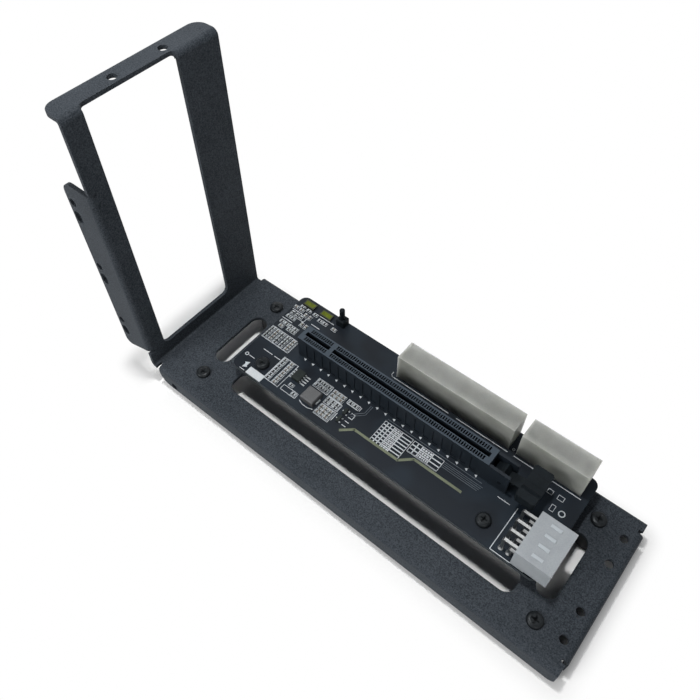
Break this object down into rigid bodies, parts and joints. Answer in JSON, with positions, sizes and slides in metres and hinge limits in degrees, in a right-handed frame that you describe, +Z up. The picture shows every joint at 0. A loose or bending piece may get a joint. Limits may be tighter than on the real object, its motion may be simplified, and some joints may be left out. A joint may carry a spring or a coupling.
{
  "type": "external graphics card dock",
  "caption": "Folded steel dock with an upright card bracket and a raised connector board that carries a card slot with a latch and power headers.",
  "frame": {"origin": "floor level under the middle of the overall box", "axes": "+X along the base from the upright to the open end, +Y to the edge with the supply headers, +Z up"},
  "size_m": [0.206, 0.065, 0.131],
  "materials": {
    "steel_black": "fine-texture black powder coat",
    "board_black": "black solder mask over glass laminate",
    "slot_black": "moulded black nylon",
    "nylon_natural": "moulded natural nylon",
    "tin_plate": "bright tin plate",
    "gold_plate": "thin gold plate on copper alloy",
    "foot_rubber": "moulded black rubber",
    "screw_black": "black oxide",
    "brass_plain": "turned brass",
    "socket_steel": "folded stainless sheet",
    "choke_grey": "pressed iron powder",
    "chip_black": "moulded epoxy",
    "lamp_white": "white reflector plastic",
    "lamp_yellow": "yellow phosphor in clear resin",
    "capacitor_tan": "fired ceramic with tinned ends",
    "resistor_dark": "dark glaze on ceramic"
  },
  "bodies": {
    "dock": {"bracket": "steel_black", "rubber_feet": "foot_rubber", "foot_screws": "screw_black", "board": "board_black", "board_standoffs": "brass_plain", "board_screws": "screw_black", "slot_housing": "slot_black", "main_supply_header": "nylon_natural", "main_supply_pins": "tin_plate", "aux_supply_header": "nylon_natural", "aux_supply_pins": "tin_plate", "card_power_header": "nylon_natural", "card_power_pins": "tin_plate", "host_socket_shell": "socket_steel", "host_socket_tongue": "chip_black", "button_body": "slot_black", "lamp_frames": "lamp_white", "lamp_fills": "lamp_yellow", "power_choke": "choke_grey", "choke_feet": "tin_plate", "regulator_chip": "chip_black", "chip_leads": "tin_plate"},
    "latch": {"slot_latch": "slot_black"},
    "plunger": {"button_plunger": "slot_black"}
  },
  "joints": [
    {"name": "latch_turn", "type": "hinge", "parent": "dock", "child": "latch", "pos_m": [0.0539, 0.01, 0.0224], "axis": [0, 1, 0], "range_deg": [0, 20], "stiffness_Nm_per_rad": 0.01},
    {"name": "plunger_press", "type": "slide", "parent": "dock", "child": "plunger", "axis": [0, 0, -1], "range_m": [0, 0.0003], "stiffness_N_per_m": 300}
  ]
}
